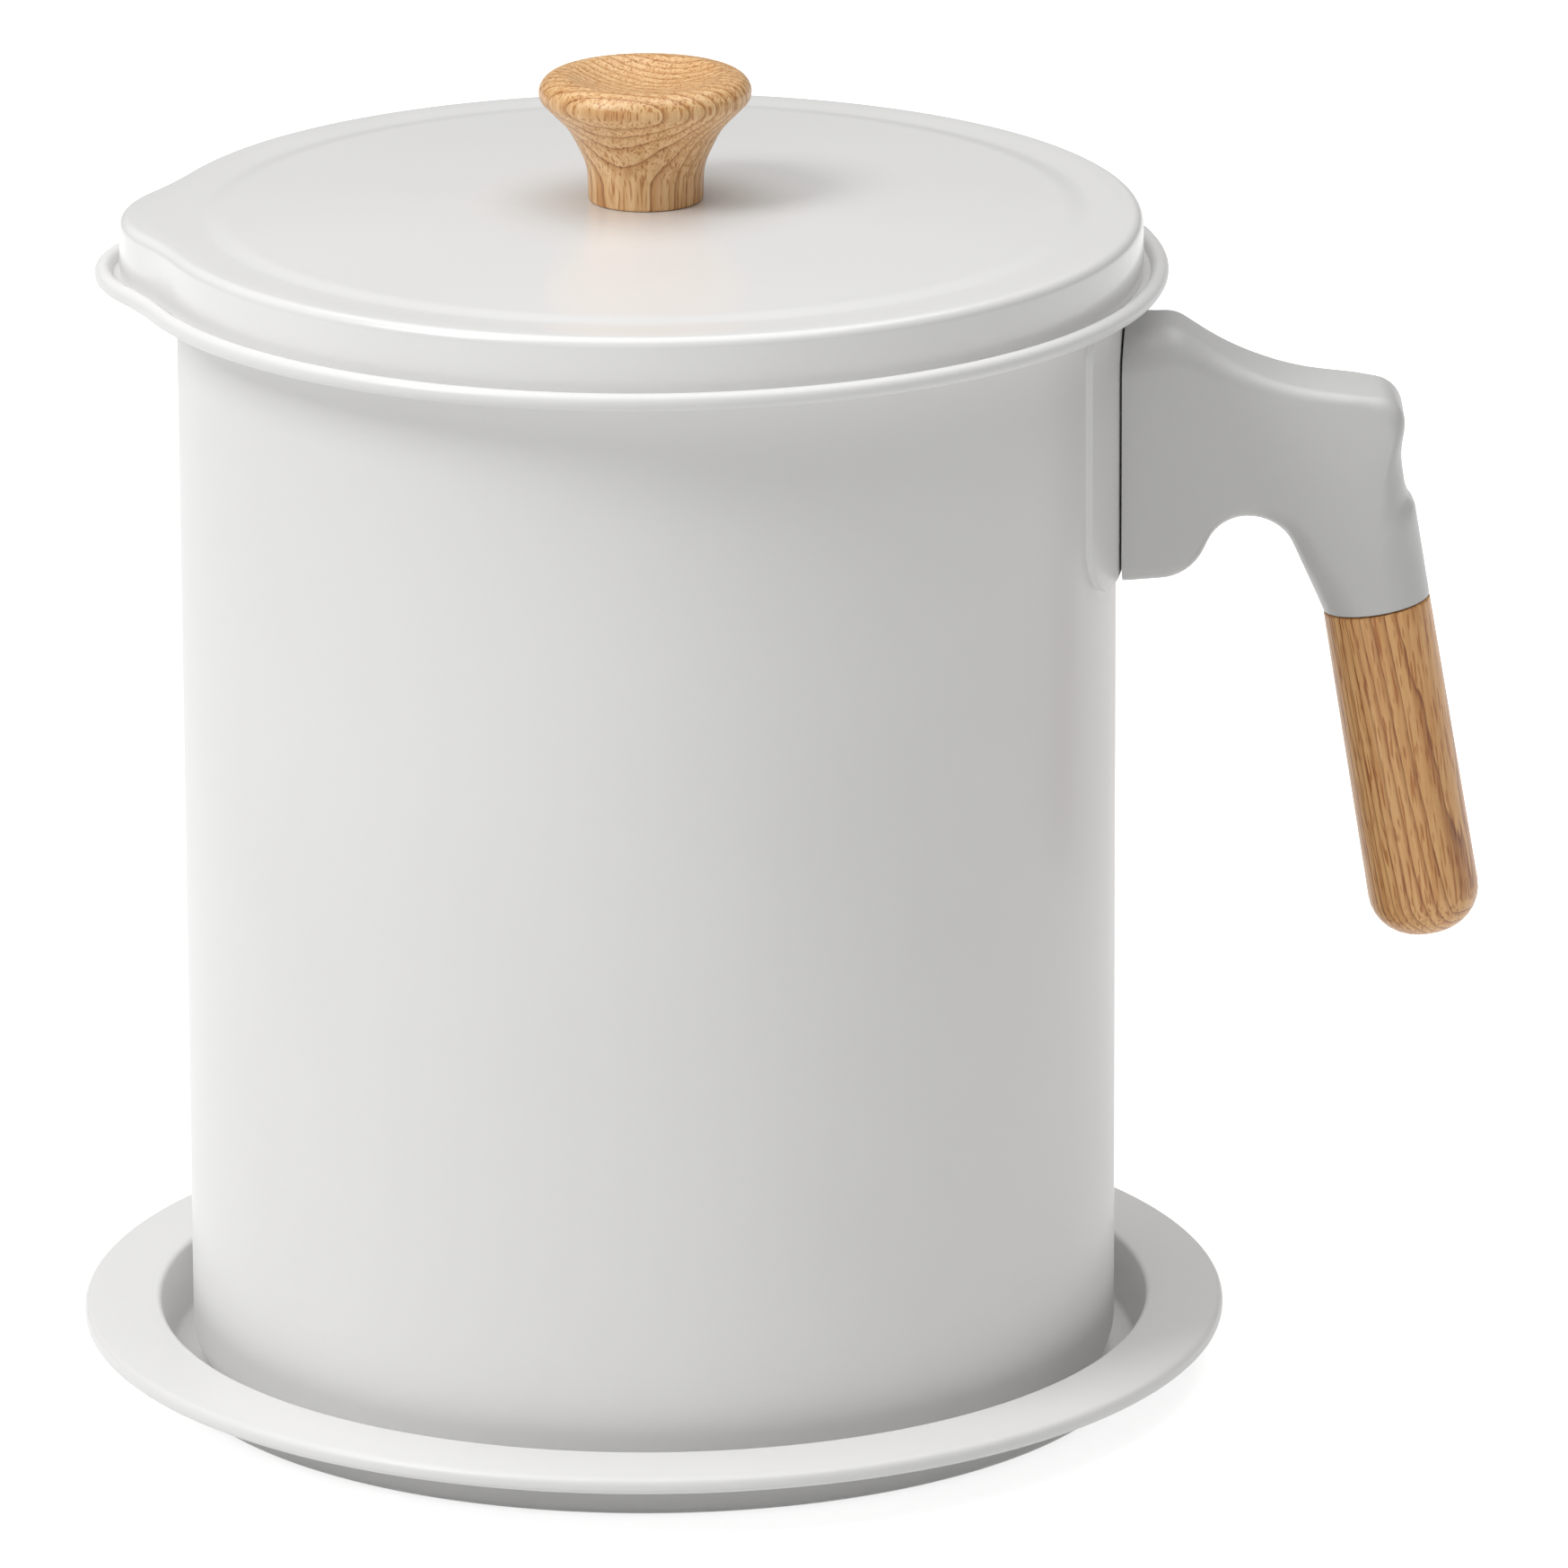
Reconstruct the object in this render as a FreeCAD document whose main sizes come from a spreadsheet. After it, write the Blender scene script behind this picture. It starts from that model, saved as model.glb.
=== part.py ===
"""Bacon grease container: lidded pouring pot with a handle, a strainer and a drip tray.

Millimetres. The origin is the centre of the tray's underside, +Z is up, the handle
points along +X and the pouring beak along -X.
"""
import FreeCAD
import Part
import math
import os
import re

import Sketcher
from FreeCAD import Vector

SIZES = {
    # Pot: a drawn shell with a flat flange and a rolled bead
    "pot_radius": 65.0,
    "pot_height": 156.3,
    "sheet_gauge": 0.8,
    "seat_gap": 0.05,
    "pot_bottom_round": 5.6,
    "pot_foot_inset": 10.0,
    "pot_foot_lift": 1.2,
    "mouth_round": 1.7,
    "flange_join": 3.4,
    "bead_reach": 6.0,
    "bead_size": 2.4,
    "bead_sag": 0.13,
    # Tray: a pressed dish with a rolled lip
    "tray_play": 3.2,
    "tray_flare": 1.4,
    "tray_height": 9.6,
    "tray_overhang": 15.35,
    "tray_lip_fall": 0.4,
    "tray_lip_depth": 2.3,
    "tray_lip_width": 2.1,
    # Beak: the same nose and hollows run round the rim and the lid
    "beak_reach": 4.1,
    "nose_radius": 25.9,
    "hollow_radius": 80.0,
    # Lid: a pressed cap whose skirt sits on the flange inside the bead
    "lid_gauge": 0.7,
    "lid_reach": 3.7,
    "lid_height": 8.3,
    "lid_edge_round": 1.5,
    "panel_inset": 7.0,
    "panel_step": 0.45,
    "panel_slope": 4.4,
    "panel_crown": 1.35,
    "lid_hole_radius": 2.2,
    # Knob and its fasteners
    "knob_base_radius": 7.95,
    "knob_waist": 8.05,
    "knob_waist_height": 5.0,
    "knob_waist_round": 9.0,
    "knob_flare": 10.6,
    "knob_flare_height": 10.4,
    "knob_flare_round": 10.0,
    "knob_radius": 14.9,
    "knob_widest": 15.0,
    "knob_under_round": 1.8,
    "knob_shoulder": 14.5,
    "knob_shoulder_height": 17.6,
    "knob_shoulder_round": 2.2,
    "knob_height": 17.9,
    "knob_crest_radius": 11.2,
    "knob_crest_round": 1.5,
    "knob_dish": 2.1,
    "insert_radius": 3.0,
    "insert_length": 9.0,
    "insert_sink": 0.3,
    "thread_radius": 2.0,
    "knob_screw_length": 8.0,
    "screw_head_radius": 3.8,
    "screw_head_height": 2.2,
    "washer_radius": 5.0,
    "washer_gauge": 0.8,
    "washer_gap": 0.03,
    # Strainer: a drawn frame, a mesh disc, its crimp ring, two lugs and a bail
    "frame_gauge": 0.6,
    "frame_flange_reach": 2.3,
    "frame_play": 0.7,
    "frame_collar": 14.0,
    "frame_taper": 1.9,
    "frame_sill": 10.6,
    "frame_depth": 28.0,
    "mesh_grip": 3.0,
    "mesh_gauge": 0.6,
    "mesh_pitch": 5.6,
    "mesh_gap": 4.1,
    "ring_play": 0.6,
    "lug_width": 8.4,
    "lug_drop": 11.0,
    "lug_gauge": 1.0,
    "lug_head_radius": 3.3,
    "bail_wire": 2.0,
    "bail_reach": 1.3,
    "bail_bend": 1.6,
    "bail_gap": 0.3,
    "pin_play": 0.08,
    "pin_tail": 1.5,
    "pin_head_radius": 1.7,
    "pin_head_height": 0.8,
    # Handle: a saddle welded to the pot, whose tongue carries the arm
    "saddle_gauge": 0.9,
    "saddle_half_width": 24.5,
    "saddle_proud": 5.8,
    "saddle_shy": 0.8,
    "saddle_round": 9.0,
    "tongue_width": 10.0,
    "tongue_height": 15.0,
    "tongue_rise": 11.0,
    "tongue_tail": 8.0,
    "tongue_wall": 1.5,
    "arm_gap": 0.35,
    "arm_play": 0.2,
    "arm_root_overlap": 5.0,
    "arm_width": 15.6,
    "arm_drop": 7.15,
    "arm_depth": 34.6,
    "arm_round": 3.0,
    "handle_screw_place": 6.5,
    "handle_screw_length": 7.0,
    "handle_screw_sink": 8.0,
    # Side outline of the arm, reached out from the pot's wall and down from the arm's top
    "heel_reach": 9.9,
    "heel_round": 4.5,
    "arch_near_reach": 13.6,
    "arch_near_round": 6.0,
    "arch_far_reach": 23.1,
    "arch_far_round": 7.5,
    "arch_rise": 8.75,
    "cuff_reach": 41.5,
    "cuff_drop": 25.7,
    "cuff_round": 3.1,
    "ledge_reach": 40.3,
    "ledge_drop": 24.3,
    "ledge_round": 3.0,
    "nape_reach": 39.3,
    "nape_drop": 18.0,
    "nape_round": 14.0,
    "rest_reach": 40.4,
    "rest_drop": 10.2,
    "rest_round": 3.4,
    "dip_reach": 19.7,
    "dip_drop": 6.04,
    "dip_round": 70.0,
    "brow_reach": 8.1,
    "brow_round": 4.0,
    # Grip
    "handle_lean": 9.35,
    "seam_reach": 36.25,
    "seam_drop": 40.05,
    "seam_gap": 0.25,
    "grip_radius": 7.5,
    "grip_swell": 0.3,
    "grip_length": 48.6,
    "grip_end_round": 6.2,
    "stud_radius": 2.5,
    "stud_up": 11.0,
    "stud_down": 26.0,
    "stud_play": 0.3,
}

doc = FreeCAD.newDocument("grease_container")
sheet = doc.addObject("Spreadsheet::Sheet", "Sizes")
parts = []


def fill_sheet():
    """Puts every driving size in the sheet under its own name."""
    for row, (name, size) in enumerate(SIZES.items(), start=1):
        sheet.set(f"A{row}", name)
        sheet.set(f"B{row}", str(size))
        sheet.setAlias(f"B{row}", name)
    doc.recompute()


def formula(text):
    """Writes the names of sizes in a formula as the sheet's cells."""
    return re.sub(r"[a-z_]+", lambda m: f"Sizes.{m.group()}" if m.group() in SIZES else m.group(), text)


def value(text):
    return float(sheet.evalExpression(formula(text)))


# Heights that several pieces share
POT_FOOT = "(sheet_gauge + seat_gap)"
FLANGE_LOW = f"({POT_FOOT} + pot_height)"
FLANGE_TOP = f"({FLANGE_LOW} + sheet_gauge)"
LID_FOOT = f"({FLANGE_TOP} + seat_gap)"
LID_TOP = f"({LID_FOOT} + lid_height)"
KNOB_FOOT = f"({LID_TOP} + panel_step + panel_crown)"
FRAME_LOW = f"({FLANGE_TOP} + seat_gap)"
FRAME_TOP = f"({FRAME_LOW} + frame_gauge)"
FRAME_FLOOR = f"({FRAME_TOP} - frame_depth)"
PIVOT = f"({FRAME_TOP} + bail_wire / 2 + bail_gap)"
ARM_TOP = f"({FLANGE_LOW} - arm_drop)"
ARM_LOW = f"({ARM_TOP} - arm_depth)"
TONGUE_LOW = f"({ARM_LOW} + tongue_rise)"

# Radii and reaches that several pieces share
POT_BORE = "(pot_radius - sheet_gauge)"
TRAY_FLOOR = "(pot_radius + tray_play)"
TRAY_LIP = "(pot_radius + tray_overhang)"
BEAD_RADIUS = "(pot_radius + bead_reach)"
LID_RADIUS = "(pot_radius + lid_reach)"
NOSE_CENTRE = f"({LID_RADIUS} + beak_reach - nose_radius)"
PANEL_RADIUS = f"({LID_RADIUS} - panel_inset)"
FRAME_RADIUS = f"({POT_BORE} - frame_play)"
FRAME_BORE = f"({FRAME_RADIUS} - frame_gauge)"
WINDOW_RADIUS = f"({FRAME_RADIUS} - frame_taper - frame_sill)"
MESH_RADIUS = f"({WINDOW_RADIUS} + mesh_grip)"
BAIL_RADIUS = f"({FRAME_RADIUS} + bail_reach)"
PIN_END = f"({FRAME_BORE} - lug_gauge - pin_tail)"
SADDLE_OUT = "(pot_radius + saddle_gauge)"
SCREW_PLACE = "(pot_radius + handle_screw_place)"
TONGUE_END = f"({SCREW_PLACE} + tongue_tail)"
SEAM_X = "(pot_radius + seam_reach)"
SEAM_Z = f"({ARM_TOP} - seam_drop)"


def new_body(label):
    body = doc.addObject("PartDesign::Body", label)
    body.Label = label
    parts.append(body)
    return body


def new_sketch(body, role, name, lift=None):
    """A sketch on one of the body's own origin planes, raised along its normal by lift."""
    sketch = body.newObject("Sketcher::SketchObject", name)
    plane = [feature for feature in body.Origin.OriginFeatures if feature.Role == role][0]
    sketch.AttachmentSupport = (plane, [""])
    sketch.MapMode = "FlatFace"
    if lift:
        sketch.setExpression("AttachmentOffset.Base.z", formula(lift))
    return sketch


def drive(sketch, kind, references, text):
    """Adds a dimension and ties it to a formula."""
    index = sketch.addConstraint(Sketcher.Constraint(kind, *references, value(text)))
    sketch.setExpression(f"Constraints[{index}]", formula(text))


def pin_point(sketch, geometry, end, across, up):
    """Holds a point at two formulas, or on an axis where one of them is nothing."""
    if across == "0":
        sketch.addConstraint(Sketcher.Constraint("PointOnObject", geometry, end, -2))
    else:
        drive(sketch, "DistanceX", (-1, 1, geometry, end), across)
    if up == "0":
        sketch.addConstraint(Sketcher.Constraint("PointOnObject", geometry, end, -1))
    else:
        drive(sketch, "DistanceY", (-1, 1, geometry, end), up)


def end_near(sketch, geometry, place):
    """Which end of an arc, first or second, lies at a place."""
    gap = [(sketch.getPoint(geometry, end) - place).Length for end in (1, 2)]
    return 1 if gap[0] < gap[1] else 2


def draw_outline(sketch, corners):
    """A closed outline through corners (across, up, round), where round is a radius or None.

    A corner (across, up, None, bulge) starts an arc to the next corner, of the radius bulge,
    curved to the left of the way there, or to the right where it starts with a minus.
    """
    count = len(corners)
    places = [Vector(value(corner[0]), value(corner[1]), 0) for corner in corners]
    leave = list(places)
    arrive = list(places)
    rounds = {}
    for i, corner in enumerate(corners):
        if not corner[2]:
            continue
        back = (places[i - 1] - places[i]).normalize()
        ahead = (places[(i + 1) % count] - places[i]).normalize()
        half = back.getAngle(ahead) / 2
        radius = value(corner[2])
        arrive[i] = places[i] + back * (radius / math.tan(half))
        leave[i] = places[i] + ahead * (radius / math.tan(half))
        inward = (back + ahead).normalize()
        middle = places[i] + inward * (radius / math.sin(half) - radius)
        rounds[i] = sketch.addGeometry(Part.Arc(arrive[i], middle, leave[i]), False)
    sides = []
    for i, corner in enumerate(corners):
        start = leave[i]
        stop = arrive[(i + 1) % count]
        if len(corner) > 3:
            radius = abs(value(corner[3]))
            chord = stop - start
            side = Vector(-chord.y, chord.x, 0).normalize() * (-1 if corner[3].startswith("-") else 1)
            rise = radius - math.sqrt(radius * radius - chord.Length ** 2 / 4)
            middle = (start + stop) * 0.5 + side * rise
            sides.append(sketch.addGeometry(Part.Arc(start, middle, stop), False))
        else:
            sides.append(sketch.addGeometry(Part.LineSegment(start, stop), False))
    for i, corner in enumerate(corners):
        before = sides[i - 1]
        after = sides[i]
        before_end = end_near(sketch, before, arrive[i]) if len(corners[i - 1]) > 3 else 2
        after_end = end_near(sketch, after, leave[i]) if len(corner) > 3 else 1
        if i in rounds:
            arc = rounds[i]
            sketch.addConstraint(
                Sketcher.Constraint("Tangent", before, before_end, arc, end_near(sketch, arc, arrive[i]))
            )
            sketch.addConstraint(
                Sketcher.Constraint("Tangent", after, after_end, arc, end_near(sketch, arc, leave[i]))
            )
            drive(sketch, "Radius", (arc,), corner[2])
            tip = sketch.addGeometry(Part.Point(places[i]), True)
            sketch.addConstraint(Sketcher.Constraint("PointOnObject", tip, 1, before))
            sketch.addConstraint(Sketcher.Constraint("PointOnObject", tip, 1, after))
            pin_point(sketch, tip, 1, corner[0], corner[1])
        else:
            sketch.addConstraint(Sketcher.Constraint("Coincident", before, before_end, after, after_end))
            pin_point(sketch, after, after_end, corner[0], corner[1])
        if len(corner) > 3:
            drive(sketch, "Radius", (after,), corner[3].lstrip("-"))


def draw_circle(sketch, across, up, radius):
    place = Vector(value(across), value(up), 0)
    circle = sketch.addGeometry(Part.Circle(place, Vector(0, 0, 1), value(radius)), False)
    if across == "0" and up == "0":
        sketch.addConstraint(Sketcher.Constraint("Coincident", circle, 3, -1, 1))
    else:
        pin_point(sketch, circle, 3, across, up)
    drive(sketch, "Radius", (circle,), radius)


def draw_box(sketch, left, right, low, high):
    draw_outline(sketch, [(left, low, None), (right, low, None), (right, high, None), (left, high, None)])


def draw_beak(sketch, inset):
    """The round outline with its pouring beak at -X, drawn inset from the lid's outer face.

    The nose, the two hollows and the round keep their centres, so every inset runs parallel.
    """
    round_text = f"{LID_RADIUS} - ({inset})"
    nose_text = f"nose_radius - ({inset})"
    hollow_text = f"hollow_radius + ({inset})"
    main = value(round_text)
    nose = value(nose_text)
    hollow = value(hollow_text)
    centre = value(NOSE_CENTRE)
    far = main + hollow
    near = nose + hollow
    across = (far * far + centre * centre - near * near) / (2 * centre)
    hollow_centre = Vector(-across, math.sqrt(far * far - across * across), 0)
    nose_centre = Vector(-centre, 0, 0)
    upper_join = hollow_centre * (main / far)
    upper_nose = nose_centre + (hollow_centre - nose_centre) * (nose / near)
    lower_join = Vector(upper_join.x, -upper_join.y, 0)
    lower_nose = Vector(upper_nose.x, -upper_nose.y, 0)
    upper_middle = hollow_centre + ((upper_join + upper_nose) * 0.5 - hollow_centre).normalize() * hollow
    lower_middle = Vector(upper_middle.x, -upper_middle.y, 0)
    arcs = [
        (upper_join, Vector(main, 0, 0), lower_join),
        (lower_join, lower_middle, lower_nose),
        (lower_nose, Vector(-centre - nose, 0, 0), upper_nose),
        (upper_nose, upper_middle, upper_join),
    ]
    ids = [sketch.addGeometry(Part.Arc(*arc), False) for arc in arcs]
    for i, arc in enumerate(arcs):
        ahead = ids[(i + 1) % 4]
        ends = (end_near(sketch, ids[i], arc[2]), end_near(sketch, ahead, arc[2]))
        sketch.addConstraint(Sketcher.Constraint("Tangent", ids[i], ends[0], ahead, ends[1]))
    sketch.addConstraint(Sketcher.Constraint("Coincident", ids[0], 3, -1, 1))
    sketch.addConstraint(Sketcher.Constraint("PointOnObject", ids[2], 3, -1))
    drive(sketch, "DistanceX", (-1, 1, ids[2], 3), f"-{NOSE_CENTRE}")
    drive(sketch, "Radius", (ids[0],), round_text)
    drive(sketch, "Radius", (ids[2],), nose_text)
    drive(sketch, "Radius", (ids[1],), hollow_text)
    drive(sketch, "Radius", (ids[3],), hollow_text)


def revolve(body, sketch, name, kind="PartDesign::Revolution"):
    feature = body.newObject(kind, name)
    feature.Profile = sketch
    feature.ReferenceAxis = (sketch, ["V_Axis"])
    feature.Angle = 360
    sketch.Visibility = False
    return feature


def pad(body, sketch, name, length, both_ways=False, kind="PartDesign::Pad", reverse=False):
    feature = body.newObject(kind, name)
    feature.Profile = sketch
    feature.setExpression("Length", formula(length))
    if both_ways:
        feature.SideType = "Symmetric"
    feature.Reversed = reverse
    return feature


def pocket(body, sketch, name, length, both_ways=False, reverse=False):
    """Cuts a sketch out of the body and makes sure that something was cut."""
    doc.recompute()
    before = body.Shape.Volume
    feature = pad(body, sketch, name, length, both_ways, "PartDesign::Pocket", reverse)
    doc.recompute()
    if not body.Shape.Volume < before - 1e-6:
        raise ValueError(f"{name} cuts nothing")
    return feature


def soften(body, name, radius, chosen):
    """Rounds the edges of the body's tip that a test picks."""
    doc.recompute()
    base = body.Tip
    names = [f"Edge{i}" for i, edge in enumerate(base.Shape.Edges, start=1) if chosen(edge)]
    if not names:
        raise ValueError(f"{name} finds no edge")
    feature = body.newObject("PartDesign::Fillet", name)
    feature.Base = (base, names)
    feature.setExpression("Radius", formula(radius))
    return feature


def turned(label, corners):
    """A body turned about the Z axis from one outline."""
    body = new_body(label)
    sketch = new_sketch(body, "XZ_Plane", f"{label}_outline")
    draw_outline(sketch, corners)
    revolve(body, sketch, f"{label}_turn")
    return body


def make_tray():
    mouth = f"{TRAY_FLOOR} + tray_flare"
    lip_inside = f"{TRAY_LIP} - tray_lip_width"
    lip_top = "tray_height - tray_lip_fall"
    lip_bottom = f"{lip_top} - tray_lip_depth"
    turned("drip_tray", [
        ("0", "0", None),
        (f"{TRAY_FLOOR} + sheet_gauge", "0", "1.3"),
        (f"{mouth} + sheet_gauge", "tray_height - sheet_gauge", "0.6"),
        (lip_inside, f"{lip_top} - sheet_gauge", "0.2"),
        (lip_inside, lip_bottom, "0.9"),
        (TRAY_LIP, lip_bottom, "0.9"),
        (TRAY_LIP, lip_top, "1.1"),
        (mouth, "tray_height", "0.9"),
        (TRAY_FLOOR, "sheet_gauge", "0.8"),
        ("0", "sheet_gauge", None),
    ])


def make_pot():
    inner_foot = f"{POT_FOOT} + sheet_gauge"
    lift = f"{POT_FOOT} + pot_foot_lift"
    inner_lift = f"{lift} + sheet_gauge"
    foot = "pot_radius - pot_foot_inset"
    join = "pot_radius + flange_join"
    bead_height = f"{FLANGE_LOW} - bead_sag + bead_size / 2"
    body = turned("pot_shell", [
        ("0", lift, None),
        (f"{foot} - 2", lift, "2"),
        (foot, POT_FOOT, "1.5"),
        ("pot_radius", POT_FOOT, "pot_bottom_round"),
        ("pot_radius", FLANGE_LOW, "mouth_round - sheet_gauge"),
        (join, FLANGE_LOW, None),
        (join, FLANGE_TOP, None),
        (POT_BORE, FLANGE_TOP, "mouth_round"),
        (POT_BORE, inner_foot, "pot_bottom_round - sheet_gauge"),
        (foot, inner_foot, "2"),
        (f"{foot} - 2", inner_lift, "1.5"),
        ("0", inner_lift, None),
    ])
    flange = new_sketch(body, "XY_Plane", "flange_outline", FLANGE_LOW)
    draw_beak(flange, f"{LID_RADIUS} - {BEAD_RADIUS}")
    draw_circle(flange, "0", "0", f"{join} - 1")
    pad(body, flange, "flange", "sheet_gauge")
    run = new_sketch(body, "XY_Plane", "bead_run", bead_height)
    draw_beak(run, f"{LID_RADIUS} - {BEAD_RADIUS}")
    section = new_sketch(body, "XZ_Plane", "bead_section")
    draw_circle(section, BEAD_RADIUS, bead_height, "bead_size / 2")
    bead = body.newObject("PartDesign::AdditivePipe", "bead")
    bead.Profile = section
    bead.Spine = (run, [])


def make_lid():
    body = new_body("lid_shell")
    outline = new_sketch(body, "XY_Plane", "skirt_outline", LID_FOOT)
    draw_beak(outline, "0")
    pad(body, outline, "skirt", "lid_height")
    top = value(LID_TOP)
    soften(body, "skirt_round", "lid_edge_round", lambda edge: edge.BoundBox.ZMin > top - 1e-4)
    hollow = new_sketch(body, "XY_Plane", "skirt_hollow", LID_FOOT)
    draw_beak(hollow, "lid_gauge")
    pocket(body, hollow, "skirt_inside", "lid_height - lid_gauge", reverse=True)
    ceiling = value(f"{LID_TOP} - lid_gauge")
    soften(body, "ceiling_round", "lid_edge_round - lid_gauge",
           lambda edge: abs(edge.BoundBox.ZMin - ceiling) < 1e-4 and edge.BoundBox.ZMax < ceiling + 1e-4)
    opening = new_sketch(body, "XY_Plane", "panel_opening", f"{LID_TOP} + 1")
    draw_circle(opening, "0", "0", PANEL_RADIUS)
    pocket(body, opening, "panel_cut", "lid_gauge + 2")
    panel = new_sketch(body, "XZ_Plane", "panel_outline")
    step = "(panel_step * panel_step + panel_slope * panel_slope) / (4 * panel_step)"
    crown_edge = f"{PANEL_RADIUS} - panel_slope"
    crown = f"({crown_edge}) * ({crown_edge}) / (2 * panel_crown)"
    draw_outline(panel, [
        (PANEL_RADIUS, LID_TOP, None, step),
        (f"{PANEL_RADIUS} - panel_slope / 2", f"{LID_TOP} + panel_step / 2", None, f"-{step}"),
        (crown_edge, f"{LID_TOP} + panel_step", None, f"-{crown}"),
        ("0", KNOB_FOOT, None),
        ("0", f"{KNOB_FOOT} - lid_gauge", None, crown),
        (crown_edge, f"{LID_TOP} + panel_step - lid_gauge", None, step),
        (f"{PANEL_RADIUS} - panel_slope / 2", f"{LID_TOP} + panel_step / 2 - lid_gauge", None, f"-{step}"),
        (PANEL_RADIUS, f"{LID_TOP} - lid_gauge", None),
    ])
    revolve(body, panel, "panel")
    hole = new_sketch(body, "XY_Plane", "knob_hole", f"{KNOB_FOOT} + 1")
    draw_circle(hole, "0", "0", "lid_hole_radius")
    pocket(body, hole, "knob_hole_cut", "lid_gauge + 2")


def make_knob():
    crest = f"{KNOB_FOOT} + knob_height"
    dish = "(knob_crest_radius * knob_crest_radius + knob_dish * knob_dish) / (2 * knob_dish)"
    turned("lid_knob", [
        ("insert_radius", KNOB_FOOT, None),
        ("knob_base_radius", KNOB_FOOT, "0.4"),
        ("knob_waist", f"{KNOB_FOOT} + knob_waist_height", "knob_waist_round"),
        ("knob_flare", f"{KNOB_FOOT} + knob_flare_height", "knob_flare_round"),
        ("knob_radius", f"{KNOB_FOOT} + knob_widest", "knob_under_round"),
        ("knob_shoulder", f"{KNOB_FOOT} + knob_shoulder_height", "knob_shoulder_round"),
        ("knob_crest_radius", crest, None, dish),
        ("0", f"{crest} - knob_dish", None),
        ("0", f"{KNOB_FOOT} + insert_length + 1.5", None),
        ("insert_radius", f"{KNOB_FOOT} + insert_length", None),
    ])
    crest_height = value(crest)
    soften(doc.getObject("lid_knob"), "crest_round", "knob_crest_round",
           lambda edge: abs(edge.BoundBox.ZMin - crest_height) < 1e-4
           and abs(edge.BoundBox.ZMax - crest_height) < 1e-4)


def make_knob_fasteners():
    under = f"{KNOB_FOOT} - lid_gauge"
    washer_top = f"{under} - washer_gap"
    washer_low = f"{washer_top} - washer_gauge"
    turned("knob_insert", [
        ("thread_radius", f"{KNOB_FOOT} + insert_sink", None),
        ("insert_radius", f"{KNOB_FOOT} + insert_sink", "0.3"),
        ("insert_radius", f"{KNOB_FOOT} + insert_length", "0.3"),
        ("thread_radius", f"{KNOB_FOOT} + insert_length", None),
    ])
    turned("knob_washer", [
        ("lid_hole_radius", washer_low, None),
        ("washer_radius", washer_low, "0.2"),
        ("washer_radius", washer_top, None),
        ("lid_hole_radius", washer_top, None),
    ])
    screw("knob_screw", washer_low, "knob_screw_length")


def screw(label, seat, length, across="0"):
    """A pan-head screw standing on its head, whose head seats at the height seat."""
    body = turned(label, [
        ("0", f"-screw_head_height", None),
        ("screw_head_radius", "-screw_head_height", "1.1"),
        ("screw_head_radius", "0", "0.2"),
        ("thread_radius", "0", None),
        ("thread_radius", length, "0.4"),
        ("0", length, None),
    ])
    body.setExpression("Placement.Base.x", formula(across))
    body.setExpression("Placement.Base.z", formula(seat))
    slot = new_sketch(body, "XY_Plane", f"{label}_slot", "-screw_head_height")
    draw_box(slot, "-screw_head_radius", "screw_head_radius", "-0.5", "0.5")
    pocket(body, slot, f"{label}_slot_cut", "0.9", reverse=True)
    return body


def make_strainer_frame():
    collar_low = f"{FRAME_TOP} - frame_collar"
    floor_radius = f"{FRAME_RADIUS} - frame_taper"
    sill = f"{FRAME_FLOOR} + frame_gauge"
    rim = "pot_radius + frame_flange_reach"
    turned("strainer_frame", [
        (rim, FRAME_LOW, "0.25"),
        (rim, FRAME_TOP, "0.25"),
        (FRAME_BORE, FRAME_TOP, "1.2"),
        (FRAME_BORE, collar_low, "20"),
        (f"{floor_radius} - frame_gauge", sill, "3.6"),
        (WINDOW_RADIUS, sill, None),
        (WINDOW_RADIUS, FRAME_FLOOR, None),
        (floor_radius, FRAME_FLOOR, "4.2"),
        (FRAME_RADIUS, collar_low, "20"),
        (FRAME_RADIUS, FRAME_LOW, "0.6"),
    ])


def make_mesh_ring():
    mesh_low = f"{FRAME_FLOOR} - mesh_gauge"
    ring_low = f"{mesh_low} - frame_gauge"
    ring_bore = f"{MESH_RADIUS} + ring_play"
    turned("mesh_ring", [
        (WINDOW_RADIUS, ring_low, None),
        (f"{ring_bore} + frame_gauge", ring_low, "0.5"),
        (f"{ring_bore} + frame_gauge", FRAME_FLOOR, None),
        (ring_bore, FRAME_FLOOR, None),
        (ring_bore, mesh_low, None),
        (WINDOW_RADIUS, mesh_low, None),
    ])


def make_mesh():
    """A flat disc with square gaps wherever a whole gap fits inside the window."""
    pitch = value("mesh_pitch")
    gap = value("mesh_gap")
    reach = value(f"{WINDOW_RADIUS} - frame_gauge")
    half_count = int(reach / pitch) + 1
    low = value(f"{FRAME_FLOOR} - mesh_gauge")
    wires = [Part.Wire(Part.makeCircle(value(MESH_RADIUS), Vector(0, 0, low)))]
    for column in range(-half_count, half_count + 1):
        for row in range(-half_count, half_count + 1):
            centre = Vector(column * pitch, row * pitch, low)
            corner = Vector(abs(centre.x) + gap / 2, abs(centre.y) + gap / 2, 0)
            if corner.Length < reach:
                ring = [centre + Vector(a * gap / 2, b * gap / 2, 0)
                        for a, b in ((-1, -1), (1, -1), (1, 1), (-1, 1), (-1, -1))]
                wires.append(Part.makePolygon(ring))
    face = Part.makeFace(wires, "Part::FaceMakerBullseye")
    mesh = doc.addObject("Part::Feature", "strainer_mesh")
    mesh.Label = "strainer_mesh"
    mesh.Shape = face.extrude(Vector(0, 0, value("mesh_gauge")))
    parts.append(mesh)
    print("mesh gaps", len(wires) - 1)


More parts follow.
